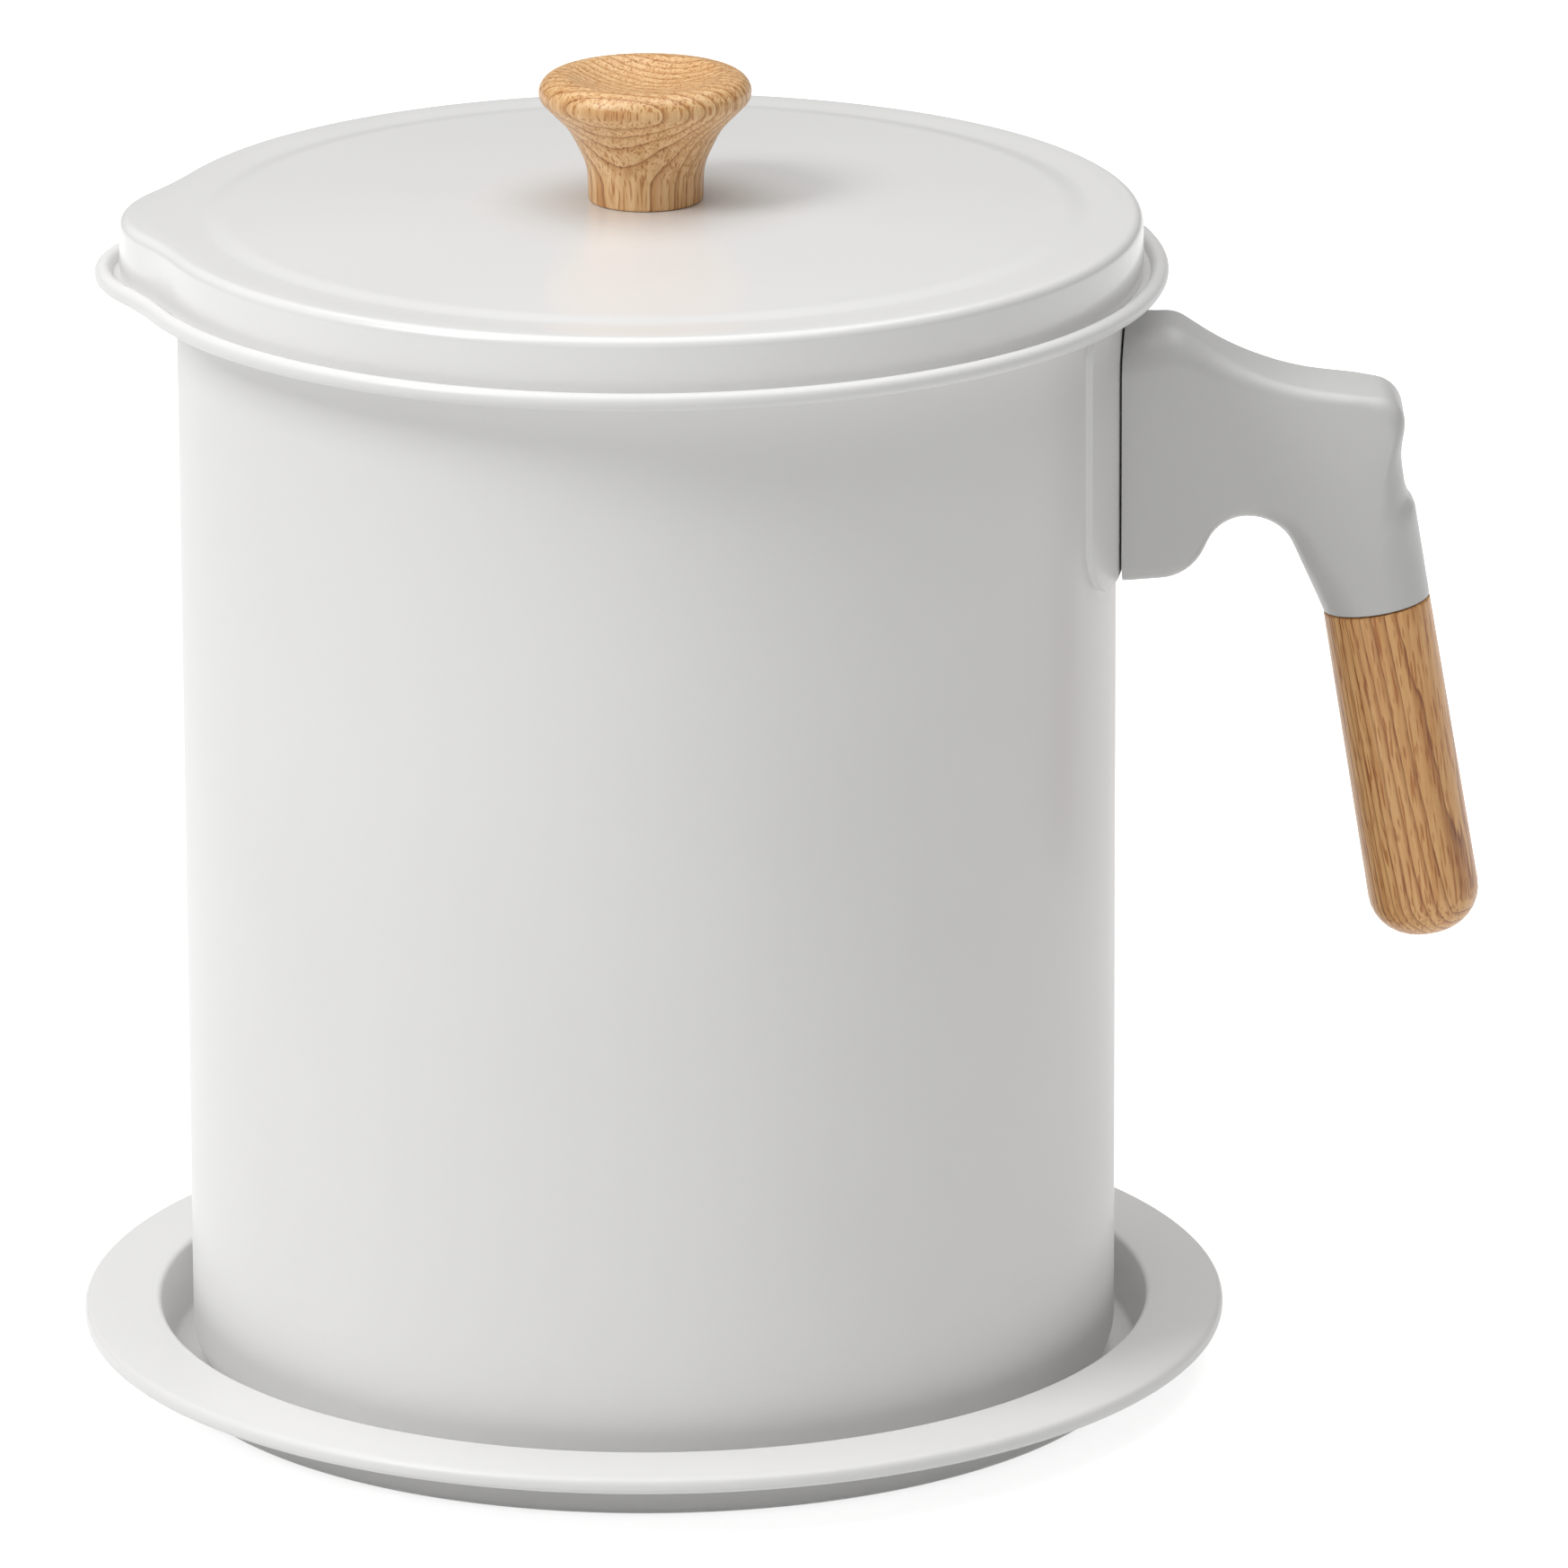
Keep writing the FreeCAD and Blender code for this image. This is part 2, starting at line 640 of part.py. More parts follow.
def make_lug(label, side):
    """A tab spot-welded inside the collar, with the eye that a bail pin turns in."""
    body = new_body(label)
    body.setExpression("Placement.Base.z", formula(PIVOT))
    body.Placement.Rotation = FreeCAD.Rotation(Vector(0, 0, 1), side)
    wall = FRAME_BORE
    tab = new_sketch(body, "XZ_Plane", f"{label}_tab")
    draw_outline(tab, [
        ("-lug_width / 2", "-lug_drop", "1.2"),
        ("lug_width / 2", "-lug_drop", "1.2"),
        ("lug_width / 2", "-1.2", "1.5"),
        ("lug_head_radius", "lug_head_radius", "lug_head_radius - 0.3"),
        ("-lug_head_radius", "lug_head_radius", "lug_head_radius - 0.3"),
        ("-lug_width / 2", "-1.2", "1.5"),
    ])
    pad(body, tab, f"{label}_blank", f"{wall} + 2")
    bend = new_sketch(body, "XY_Plane", f"{label}_bend", "-lug_drop - 1")
    draw_circle(bend, "0", "0", f"{wall} - lug_gauge")
    pocket(body, bend, f"{label}_inside", "lug_drop + 2 * lug_head_radius + 2", reverse=True)
    back = new_sketch(body, "XY_Plane", f"{label}_back", "-lug_drop - 1")
    draw_circle(back, "0", "0", wall)
    draw_circle(back, "0", "0", f"{wall} + 6")
    pocket(body, back, f"{label}_outside", "lug_drop + 2 * lug_head_radius + 2", reverse=True)
    eye = new_sketch(body, "XZ_Plane", f"{label}_eye")
    draw_circle(eye, "0", "0", "bail_wire / 2 + pin_play")
    pocket(body, eye, f"{label}_eye_cut", f"{wall} + 3", reverse=True)


def make_bail():
    """The swinging wire loop, lying towards +X, with a headed pin turned in at each end."""
    body = new_body("strainer_bail")
    body.setExpression("Placement.Base.z", formula(PIVOT))
    run = new_sketch(body, "XY_Plane", "bail_run")
    big = value(BAIL_RADIUS)
    bend = value("bail_bend")
    pin_end = value(PIN_END)
    bend_y = math.sqrt((big - bend) ** 2 - bend ** 2)
    join = Vector(bend, bend_y, 0) * (big / (big - bend))
    bend_middle = Vector(bend, bend_y, 0) + Vector(-bend, bend, 0) * math.sqrt(0.5)
    down = Vector(1, -1, 1)

    def flip(place):
        return Vector(place.x * down.x, place.y * down.y, 0)

    upper_pin = sketch_line(run, Vector(0, pin_end, 0), Vector(0, bend_y, 0))
    upper_bend = run.addGeometry(Part.Arc(Vector(0, bend_y, 0), bend_middle, join), False)
    loop = run.addGeometry(Part.Arc(join, Vector(big, 0, 0), flip(join)), False)
    lower_bend = run.addGeometry(Part.Arc(flip(join), flip(bend_middle), Vector(0, -bend_y, 0)), False)
    lower_pin = sketch_line(run, Vector(0, -bend_y, 0), Vector(0, -pin_end, 0))
    chain = [upper_pin, upper_bend, loop, lower_bend, lower_pin]
    joins = [Vector(0, bend_y, 0), join, flip(join), Vector(0, -bend_y, 0)]
    for first, second, place in zip(chain, chain[1:], joins):
        run.addConstraint(
            Sketcher.Constraint("Tangent", first, end_near(run, first, place), second, end_near(run, second, place))
        )
    run.addConstraint(Sketcher.Constraint("Coincident", loop, 3, -1, 1))
    run.addConstraint(Sketcher.Constraint("PointOnObject", upper_pin, 1, -2))
    run.addConstraint(Sketcher.Constraint("PointOnObject", upper_pin, 2, -2))
    run.addConstraint(Sketcher.Constraint("PointOnObject", lower_pin, 1, -2))
    run.addConstraint(Sketcher.Constraint("PointOnObject", lower_pin, 2, -2))
    drive(run, "DistanceY", (-1, 1, upper_pin, 1), PIN_END)
    drive(run, "DistanceY", (-1, 1, lower_pin, 2), f"-{PIN_END}")
    drive(run, "Radius", (upper_bend,), "bail_bend")
    drive(run, "Radius", (lower_bend,), "bail_bend")
    drive(run, "Radius", (loop,), BAIL_RADIUS)
    section = new_sketch(body, "XZ_Plane", "bail_section", f"-{PIN_END}")
    draw_circle(section, "0", "0", "bail_wire / 2")
    wire = body.newObject("PartDesign::AdditivePipe", "bail_wire_run")
    wire.Profile = section
    wire.Spine = (run, [])
    for name, way, lift in (("upper_head", False, f"-{PIN_END} - pin_head_height / 2"),
                            ("lower_head", True, f"{PIN_END} + pin_head_height / 2")):
        head = new_sketch(body, "XZ_Plane", f"{name}_outline", lift)
        draw_circle(head, "0", "0", "pin_head_radius")
        pad(body, head, name, "pin_head_height", reverse=way)


def sketch_line(sketch, start, stop):
    return sketch.addGeometry(Part.LineSegment(start, stop), False)


def make_bracket():
    """A saddle bent to the pot's wall, with a square tube as the tongue that carries the arm."""
    body = new_body("handle_bracket")
    saddle_low = f"({ARM_LOW} + saddle_shy)"
    saddle_high = f"({ARM_TOP} + saddle_proud)"
    plate = new_sketch(body, "YZ_Plane", "saddle_outline")
    draw_outline(plate, [
        ("-saddle_half_width", saddle_low, "saddle_round"),
        ("saddle_half_width", saddle_low, "saddle_round"),
        ("saddle_half_width", saddle_high, "saddle_round / 2"),
        ("-saddle_half_width", saddle_high, "saddle_round / 2"),
    ])
    pad(body, plate, "saddle_blank", "pot_radius + 8")
    hollow = new_sketch(body, "XY_Plane", "saddle_hollow", f"{saddle_low} - 1")
    draw_circle(hollow, "0", "0", "pot_radius")
    height = f"{saddle_high} - {saddle_low} + 2"
    pocket(body, hollow, "saddle_inside", height, reverse=True)
    skin = new_sketch(body, "XY_Plane", "saddle_skin", f"{saddle_low} - 1")
    draw_circle(skin, "0", "0", SADDLE_OUT)
    draw_circle(skin, "0", "0", f"{SADDLE_OUT} + 20")
    pocket(body, skin, "saddle_outside", height, reverse=True)
    tongue = new_sketch(body, "YZ_Plane", "tongue_outline", "pot_radius")
    tongue_high = f"{TONGUE_LOW} + tongue_height"
    draw_box(tongue, "-tongue_width / 2", "tongue_width / 2", TONGUE_LOW, tongue_high)
    draw_box(tongue, "tongue_wall - tongue_width / 2", "tongue_width / 2 - tongue_wall",
             f"{TONGUE_LOW} + tongue_wall", f"{tongue_high} - tongue_wall")
    pad(body, tongue, "tongue", f"{TONGUE_END} - pot_radius")
    tapped = new_sketch(body, "XY_Plane", "tapped_hole", f"{TONGUE_LOW} - 1")
    draw_circle(tapped, SCREW_PLACE, "0", "thread_radius")
    pocket(body, tapped, "tapped_hole_cut", "tongue_wall + 2", reverse=True)


def seam_corner(side):
    """The two ends of the seam between arm and grip, square to the leaning grip."""
    across = f"{SEAM_X} {side} grip_radius * cos(handle_lean * 1 deg)"
    up = f"{SEAM_Z} {side} grip_radius * sin(handle_lean * 1 deg)"
    return across, up


def arm_corner(name, height=None):
    """A corner of the arm's side outline, from its named reach, drop and round."""
    return f"pot_radius + {name}_reach", height or f"{ARM_TOP} - {name}_drop", f"{name}_round"


def make_arm():
    body = new_body("handle_arm")
    side = new_sketch(body, "XZ_Plane", "arm_outline")
    inner = seam_corner("-")
    outer = seam_corner("+")
    root = "pot_radius - arm_root_overlap"
    arch = f"{ARM_LOW} + arch_rise"
    draw_outline(side, [
        (root, ARM_LOW, None),
        arm_corner("heel", ARM_LOW),
        arm_corner("arch_near", arch),
        arm_corner("arch_far", arch),
        (*inner, None),
        (*outer, None),
        arm_corner("cuff"),
        arm_corner("ledge"),
        arm_corner("nape"),
        arm_corner("rest"),
        arm_corner("dip"),
        arm_corner("brow", ARM_TOP),
        (root, ARM_TOP, None),
    ])
    pad(body, side, "arm_blank", "arm_width", both_ways=True)
    half = value("arm_width / 2")
    seam_top = value(outer[1])
    seam_end = value(outer[0])
    soften(body, "arm_edges", "arm_round",
           lambda edge: abs(edge.BoundBox.YMax - edge.BoundBox.YMin) < 1e-4
           and abs(abs(edge.BoundBox.YMin) - half) < 1e-4
           and edge.BoundBox.XMax > value(root) + 0.01
           and not (edge.BoundBox.ZMax < seam_top + 0.01 and edge.BoundBox.XMax > seam_end - 0.01))
    face = new_sketch(body, "XY_Plane", "root_face", f"{ARM_LOW} - 1")
    draw_circle(face, "0", "0", f"{SADDLE_OUT} + arm_gap")
    pocket(body, face, "root_cut", "arm_depth + 2", reverse=True)
    socket = new_sketch(body, "YZ_Plane", "socket_outline", "pot_radius")
    draw_box(socket, "-tongue_width / 2 - arm_play", "tongue_width / 2 + arm_play",
             f"{TONGUE_LOW} - arm_play", f"{TONGUE_LOW} + tongue_height + arm_play")
    pocket(body, socket, "socket", f"{TONGUE_END} - pot_radius + 1", reverse=True)
    sink = new_sketch(body, "XY_Plane", "screw_sink", f"{ARM_LOW} - 1")
    draw_circle(sink, SCREW_PLACE, "0", "screw_head_radius + arm_play")
    pocket(body, sink, "screw_sink_cut", "handle_screw_sink + 1", reverse=True)
    way = new_sketch(body, "XY_Plane", "screw_way", f"{ARM_LOW} - 1")
    draw_circle(way, SCREW_PLACE, "0", "thread_radius + arm_play")
    pocket(body, way, "screw_way_cut", "tongue_rise + 1", reverse=True)
    bore = new_sketch(body, "XZ_Plane", "stud_bore_outline")
    lean_x = "sin(handle_lean * 1 deg)"
    lean_z = "cos(handle_lean * 1 deg)"

    def along(across, up):
        return (f"{SEAM_X} + ({across}) * {lean_z} - ({up}) * {lean_x}",
                f"{SEAM_Z} + ({across}) * {lean_x} + ({up}) * {lean_z}")

    draw_outline(bore, [
        (*along("0", "-1"), None),
        (*along("stud_radius", "-1"), None),
        (*along("stud_radius", "stud_up"), None),
        (*along("0", "stud_up"), None),
    ])
    groove = body.newObject("PartDesign::Groove", "stud_bore")
    groove.Profile = bore
    groove.ReferenceAxis = (bore, ["Edge4"])
    groove.Angle = 360


def lean_with_grip(body):
    """Stands a piece on the seam, leaning with the grip."""
    body.Placement.Rotation = FreeCAD.Rotation(Vector(0, 1, 0), -value("handle_lean"))
    body.setExpression("Placement.Rotation.Angle", formula("handle_lean * 1 deg"))
    body.Placement.Rotation.Axis = Vector(0, -1, 0)
    body.setExpression("Placement.Base.x", formula(SEAM_X))
    body.setExpression("Placement.Base.z", formula(SEAM_Z))


def make_grip():
    grip = turned("handle_grip", [
        ("stud_radius", "-seam_gap", None),
        ("stud_radius", "-stud_down", None),
        ("0", "-stud_down - 1.2", None),
        ("0", "-grip_length", None),
        ("grip_radius + grip_swell", "-grip_length", "grip_end_round"),
        ("grip_radius", "-seam_gap", "0.35"),
    ])
    lean_with_grip(grip)
    stud = turned("grip_stud", [
        ("0", "stud_play - stud_down", None),
        ("stud_radius", "stud_play - stud_down", "0.5"),
        ("stud_radius", "stud_up - stud_play", "0.5"),
        ("0", "stud_up - stud_play", None),
    ])
    lean_with_grip(stud)


def check_and_write():
    doc.recompute()
    for item in doc.Objects:
        if "Invalid" in item.State or "Error" in item.State:
            raise ValueError(f"{item.Name} failed: {item.State}")
    os.makedirs("parts", exist_ok=True)
    for piece in parts:
        shape = piece.Shape
        if shape.isNull() or not shape.isValid():
            raise ValueError(f"{piece.Label} is not a valid solid")
        print(f"{piece.Label:18s} solids {len(shape.Solids)} volume {shape.Volume:10.2f} faces {len(shape.Faces)}")
        shape.exportStep(f"parts/{piece.Label}.step")


fill_sheet()
make_tray()
make_pot()
make_bracket()
make_arm()
screw("handle_screw", f"{ARM_LOW} + handle_screw_sink", "handle_screw_length", SCREW_PLACE)
make_grip()
make_strainer_frame()
make_mesh()
make_mesh_ring()
make_lug("bail_lug_front", 0)
make_lug("bail_lug_rear", 180)
make_bail()
make_lid()
make_knob()
make_knob_fasteners()
check_and_write()
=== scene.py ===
"""Looks of the bacon grease container: a white coated pot with a lid, strainer, handle and drip tray."""

import math

import bmesh
import bpy
from mathutils import Matrix, Vector


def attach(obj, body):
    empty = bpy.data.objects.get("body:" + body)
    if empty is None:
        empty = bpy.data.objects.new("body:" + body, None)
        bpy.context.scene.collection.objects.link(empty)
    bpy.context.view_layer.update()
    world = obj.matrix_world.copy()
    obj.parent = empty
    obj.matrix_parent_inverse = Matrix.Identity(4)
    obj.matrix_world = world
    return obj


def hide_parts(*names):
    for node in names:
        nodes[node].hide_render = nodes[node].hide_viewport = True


MM = 0.001

# Sizes that several pieces share, in millimetres
POT_RADIUS = 65.0
GAUGE = 0.8
LID_GAUGE = 0.7
SEAT_GAP = 0.05
POT_FOOT = GAUGE + SEAT_GAP
FLANGE_LOW = POT_FOOT + 156.3
FLANGE_TOP = FLANGE_LOW + GAUGE
LID_FOOT = FLANGE_TOP + SEAT_GAP
LID_TOP = LID_FOOT + 8.3
PANEL_STEP = 0.45
PANEL_CROWN = 1.35
KNOB_FOOT = LID_TOP + PANEL_STEP + PANEL_CROWN
LID_RADIUS = POT_RADIUS + 3.7
NOSE_REACH = LID_RADIUS + 4.1
NOSE_RADIUS = 25.9
NOSE_CENTRE = NOSE_REACH - NOSE_RADIUS
HOLLOW_RADIUS = 80.0
GRIP_RADIUS = 7.5
GRIP_LEAN = math.radians(9.35)
SEAM = Vector((101.25, 0, 109.95))

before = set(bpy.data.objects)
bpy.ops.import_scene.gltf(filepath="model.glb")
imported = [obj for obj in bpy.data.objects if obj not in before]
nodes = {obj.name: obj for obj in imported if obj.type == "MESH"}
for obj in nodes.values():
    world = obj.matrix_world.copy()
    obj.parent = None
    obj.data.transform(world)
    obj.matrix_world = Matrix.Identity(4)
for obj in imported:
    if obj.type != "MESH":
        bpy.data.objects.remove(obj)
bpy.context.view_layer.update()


# Camera of the photograph

def make_camera():
    stand = (0.0187, -1.8602, 0.6452)
    elevation = math.radians(16.8)
    roll = math.radians(-0.25)
    lens = bpy.data.cameras.new("photo_camera")
    lens.sensor_fit = "HORIZONTAL"
    lens.sensor_width = 36.0
    lens.lens = 319.2
    lens.clip_end = 50.0
    camera = bpy.data.objects.new("photo_camera", lens)
    bpy.context.scene.collection.objects.link(camera)
    camera.matrix_world = (
        Matrix.Translation(stand)
        @ Matrix.Rotation(math.pi / 2 - elevation, 4, "X")
        @ Matrix.Rotation(roll, 4, "Z")
    )
    bpy.context.scene.camera = camera


make_camera()


# Outlines

def rounded_path(corners):
    """Points of a line through (across, up, round) corners, with each corner turned on its radius."""
    steps = 8
    path = []
    for i, (across, up, radius) in enumerate(corners):
        here = Vector((across, up))
        if not radius:
            path.append(here)
            continue
        back = (Vector(corners[i - 1][:2]) - here).normalized()
        ahead = (Vector(corners[i + 1][:2]) - here).normalized()
        half = back.angle(ahead) / 2
        centre = here + (back + ahead).normalized() * (radius / math.sin(half))
        start = here + back * (radius / math.tan(half)) - centre
        stop = here + ahead * (radius / math.tan(half)) - centre
        turn = start.angle_signed(stop)
        for step in range(steps + 1):
            angle = -turn * step / steps
            path.append(centre + Vector((
                start.x * math.cos(angle) - start.y * math.sin(angle),
                start.x * math.sin(angle) + start.y * math.cos(angle),
            )))
    return path


def resample(path, longest):
    """Adds points so that no side is longer than a length."""
    fine = [path[0]]
    for start, stop in zip(path, path[1:]):
        parts = max(1, math.ceil((stop - start).length / longest))
        fine.extend(start.lerp(stop, part / parts) for part in range(1, parts + 1))
    return fine


def beak_radius(angle, inset):
    """Distance from the axis to the beaked outline, inset from the lid's outer face.

    The outline is a main circle, a hollow arc on each side and a nose arc, all tangent.
    """
    main = LID_RADIUS - inset
    nose = NOSE_RADIUS - inset
    hollow = HOLLOW_RADIUS + inset
    far = main + hollow
    near = nose + hollow
    across = (far * far + NOSE_CENTRE * NOSE_CENTRE - near * near) / (2 * NOSE_CENTRE)
    hollow_up = math.sqrt(far * far - across * across)
    turn = abs(math.remainder(angle - math.pi, 2 * math.pi))
    join = math.atan2(hollow_up, across)
    if turn >= join:
        return main
    nose_middle = Vector((NOSE_CENTRE, 0))
    nose_join = nose_middle + (Vector((across, hollow_up)) - nose_middle) * (nose / near)
    if turn <= math.atan2(nose_join.y, nose_join.x):
        ahead = NOSE_CENTRE * math.cos(turn)
        aside = NOSE_CENTRE * math.sin(turn)
        return ahead + math.sqrt(nose * nose - aside * aside)
    ahead = far * math.cos(join - turn)
    aside = far * math.sin(join - turn)
    return ahead - math.sqrt(hollow * hollow - aside * aside)


def beak_from(inner, outer):
    """A lathe outline: round up to the radius inner, and beaked from the radius outer."""
    def place(radius, angle):
        if radius <= inner:
            return radius
        if radius >= outer:
            return beak_radius(angle, LID_RADIUS - radius)
        share = (radius - inner) / (outer - inner)
        edge = beak_radius(angle, LID_RADIUS - outer)
        return inner + (edge - inner) * share
    return place


# Meshes

def new_object(name, vertices, faces, body, sharp=40):
    mesh = bpy.data.meshes.new(name)
    mesh.from_pydata([(x * MM, y * MM, z * MM) for x, y, z in vertices], [], faces)
    mesh.validate()
    mesh.polygons.foreach_set("use_smooth", [True] * len(mesh.polygons))
    mesh.set_sharp_from_angle(angle=math.radians(sharp))
    mesh.update()
    piece = bpy.data.objects.new(name, mesh)
    bpy.context.scene.collection.objects.link(piece)
    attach(piece, body)
    return piece


def lathe(name, profile, body, segments, outline=None, closed=False, place=None):
    """Turns a profile of (radius, height) points about Z. Points on the axis become one vertex.

    An outline gives the reach of a radius at each angle, where the piece isn't round.
    """
    vertices = []
    rings = []
    for radius, height in profile:
        if radius < 1e-6:
            rings.append([len(vertices)])
            vertices.append(Vector((0, 0, height)))
            continue
        ring = []
        for step in range(segments):
            angle = 2 * math.pi * step / segments
            reach = outline(radius, angle) if outline else radius
            ring.append(len(vertices))
            vertices.append(Vector((reach * math.cos(angle), reach * math.sin(angle), height)))
        rings.append(ring)
    faces = []
    pairs = list(zip(rings, rings[1:]))
    if closed:
        pairs.append((rings[-1], rings[0]))
    for low, high in pairs:
        if len(low) == len(high) == 1:
            continue
        for step in range(segments):
            following = (step + 1) % segments
            if len(low) == 1:
                faces.append((low[0], high[following], high[step]))
            elif len(high) == 1:
                faces.append((low[step], low[following], high[0]))
            else:
                faces.append((low[step], low[following], high[following], high[step]))
    if place:
        vertices = [place @ vertex for vertex in vertices]
    return new_object(name, vertices, faces, body)


# Materials

def new_material(name):
    material = bpy.data.materials.new(name)
    material.use_nodes = True
    tree = material.node_tree
    return material, tree, tree.nodes["Principled BSDF"]


def add(tree, kind, **settings):
    node = tree.nodes.new(kind)
    for key, setting in settings.items():
        setattr(node, key, setting)
    return node


def object_coordinates(tree, location=(0, 0, 0), rotation=(0, 0, 0), scale=(1, 1, 1)):
    source = add(tree, "ShaderNodeTexCoord")
    mapping = add(tree, "ShaderNodeMapping", vector_type="TEXTURE")
    mapping.inputs["Location"].default_value = location
    mapping.inputs["Rotation"].default_value = rotation
    mapping.inputs["Scale"].default_value = scale
    tree.links.new(source.outputs["Object"], mapping.inputs["Vector"])
    return mapping.outputs["Vector"]


def noise(tree, vector, scale, detail=2.0, roughness=0.5):
    node = add(tree, "ShaderNodeTexNoise")
    node.inputs["Scale"].default_value = scale
    node.inputs["Detail"].default_value = detail
    node.inputs["Roughness"].default_value = roughness
    tree.links.new(vector, node.inputs["Vector"])
    return node.outputs["Fac"]


def ramp(tree, source, stops):
    node = add(tree, "ShaderNodeValToRGB")
    elements = node.color_ramp.elements
    while len(elements) < len(stops):
        elements.new(0.5)
    for element, (place, colour) in zip(elements, stops):
        element.position = place
        element.color = (*colour, 1)
    tree.links.new(source, node.inputs["Fac"])
    return node.outputs["Color"]


def multiply(tree, first, second):
    node = add(tree, "ShaderNodeMix", data_type="RGBA", blend_type="MULTIPLY")
    node.inputs["Factor"].default_value = 1.0
    tree.links.new(first, node.inputs["A"])
    tree.links.new(second, node.inputs["B"])
    return node.outputs["Result"]


def bump(tree, shader, height, strength, distance):
    node = add(tree, "ShaderNodeBump")
    node.inputs["Strength"].default_value = strength
    node.inputs["Distance"].default_value = distance
    tree.links.new(height, node.inputs["Height"])
    tree.links.new(node.outputs["Normal"], shader.inputs["Normal"])


def coated(name, colour, roughness, coat, peel):
    """Powder coat: a near-even colour with the faint ripple of the melted powder."""
    material, tree, shader = new_material(name)
    vector = object_coordinates(tree)
    low = tuple(channel * 0.975 for channel in colour)
    tone = ramp(tree, noise(tree, vector, 18, 3), [(0.35, low), (0.65, colour)])
    tree.links.new(tone, shader.inputs["Base Color"])
    shader.inputs["Roughness"].default_value = roughness
    shader.inputs["Coat Weight"].default_value = coat
    shader.inputs["Coat Roughness"].default_value = 0.12
    bump(tree, shader, noise(tree, vector, 900, 2), peel, 0.0002)
    return material


def wood(name, light, middle, dark, pith, tilt, ring_scale, pore_depth, waver):
    """Long grain along the piece's axis: thin growth rings about a far pith, streaks and open pores."""
    material, tree, shader = new_material(name)
    clear = (1, 1, 1)
    drift_shade = (0.9, 0.85, 0.78)
    streak_shade = (0.84, 0.72, 0.58)

    def grain(stretch):
        return object_coordinates(tree, location=pith, rotation=tilt, scale=(1, 1, stretch))

    wave = add(tree, "ShaderNodeTexWave", wave_type="RINGS", rings_direction="Z", wave_profile="SAW")
    wave.inputs["Scale"].default_value = ring_scale
    wave.inputs["Distortion"].default_value = waver
    wave.inputs["Detail"].default_value = 3.0
    wave.inputs["Detail Scale"].default_value = 0.8
    wave.inputs["Detail Roughness"].default_value = 0.5
    tree.links.new(grain(7), wave.inputs["Vector"])
    ring_stops = [(0.0, light), (0.55, light), (0.86, middle), (0.97, dark), (1.0, light)]
    rings = ramp(tree, wave.outputs["Fac"], ring_stops)
    drift = ramp(tree, noise(tree, grain(5), 70, 3), [(0.3, drift_shade), (0.65, clear)])
    streaks = ramp(tree, noise(tree, grain(45), 1000, 3, 0.65), [(0.36, streak_shade), (0.58, clear)])
    pore_noise = noise(tree, grain(14), 2900, 1)
    pores = ramp(tree, pore_noise, [(0.36, pore_depth), (0.45, clear)])
    colour = multiply(tree, multiply(tree, multiply(tree, rings, drift), streaks), pores)
    tree.links.new(colour, shader.inputs["Base Color"])
    shader.inputs["Roughness"].default_value = 0.38
    shader.inputs["Coat Weight"].default_value = 0.12
    shader.inputs["Coat Roughness"].default_value = 0.3
    bump(tree, shader, pore_noise, 0.3, 0.0002)
    return material


def metal(name, colour, roughness, stretch):
    """Bare metal with fine marks drawn out along one way."""
    material, tree, shader = new_material(name)
    vector = object_coordinates(tree, scale=stretch)
    marks = noise(tree, vector, 1500, 2)
    tone = ramp(tree, marks, [(0.3, tuple(channel * 0.86 for channel in colour)), (0.7, colour)])
    tree.links.new(tone, shader.inputs["Base Color"])
    shader.inputs["Metallic"].default_value = 1.0
    shader.inputs["Roughness"].default_value = roughness
    bump(tree, shader, marks, 0.12, 0.0001)
    return material


WHITE = (0.85, 0.847, 0.84)
pot_coat = coated("pot_coat", WHITE, 0.42, 0.1, 0.05)
tray_coat = coated("tray_coat", (0.88, 0.877, 0.87), 0.42, 0.1, 0.05)
lid_coat = coated("lid_coat", WHITE, 0.28, 0.35, 0.03)
arm_coat = coated("arm_coat", (0.63, 0.628, 0.62), 0.4, 0.1, 0.05)
knob_wood = wood(
    "knob_wood", (0.90, 0.61, 0.32), (0.73, 0.42, 0.18), (0.45, 0.20, 0.07),
    pith=(0.012, 0.034, 0), tilt=(0, 0, 0), ring_scale=210, pore_depth=(0.68, 0.5, 0.34), waver=3.0,
)
grip_wood = wood(
    "grip_wood", (0.87, 0.51, 0.21), (0.64, 0.32, 0.11), (0.37, 0.145, 0.04),
    pith=(0.107, 0.003, 0), tilt=(math.radians(-3), -GRIP_LEAN, 0), ring_scale=290,
    pore_depth=(0.66, 0.46, 0.30), waver=5.0,
)
steel = metal("strainer_steel", (0.62, 0.62, 0.61), 0.32, (1, 1, 0.05))
wire_steel = metal("wire_steel", (0.66, 0.66, 0.65), 0.25, (1, 1, 1))
zinc = metal("zinc_plate", (0.6, 0.62, 0.64), 0.35, (1, 1, 1))
brass = metal("insert_brass", (0.75, 0.58, 0.28), 0.3, (1, 1, 1))


def paint(piece, material):
    piece.data.materials.clear()
    piece.data.materials.append(material)


def stand_for(piece, node, material):
    """Shows a finer piece in the place of a node of the frame."""
    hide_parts(node)
    paint(piece, material)


def paint_node(name, material):
    for slot in nodes[name].material_slots:
        slot.material = material


# Pot, lid and tray

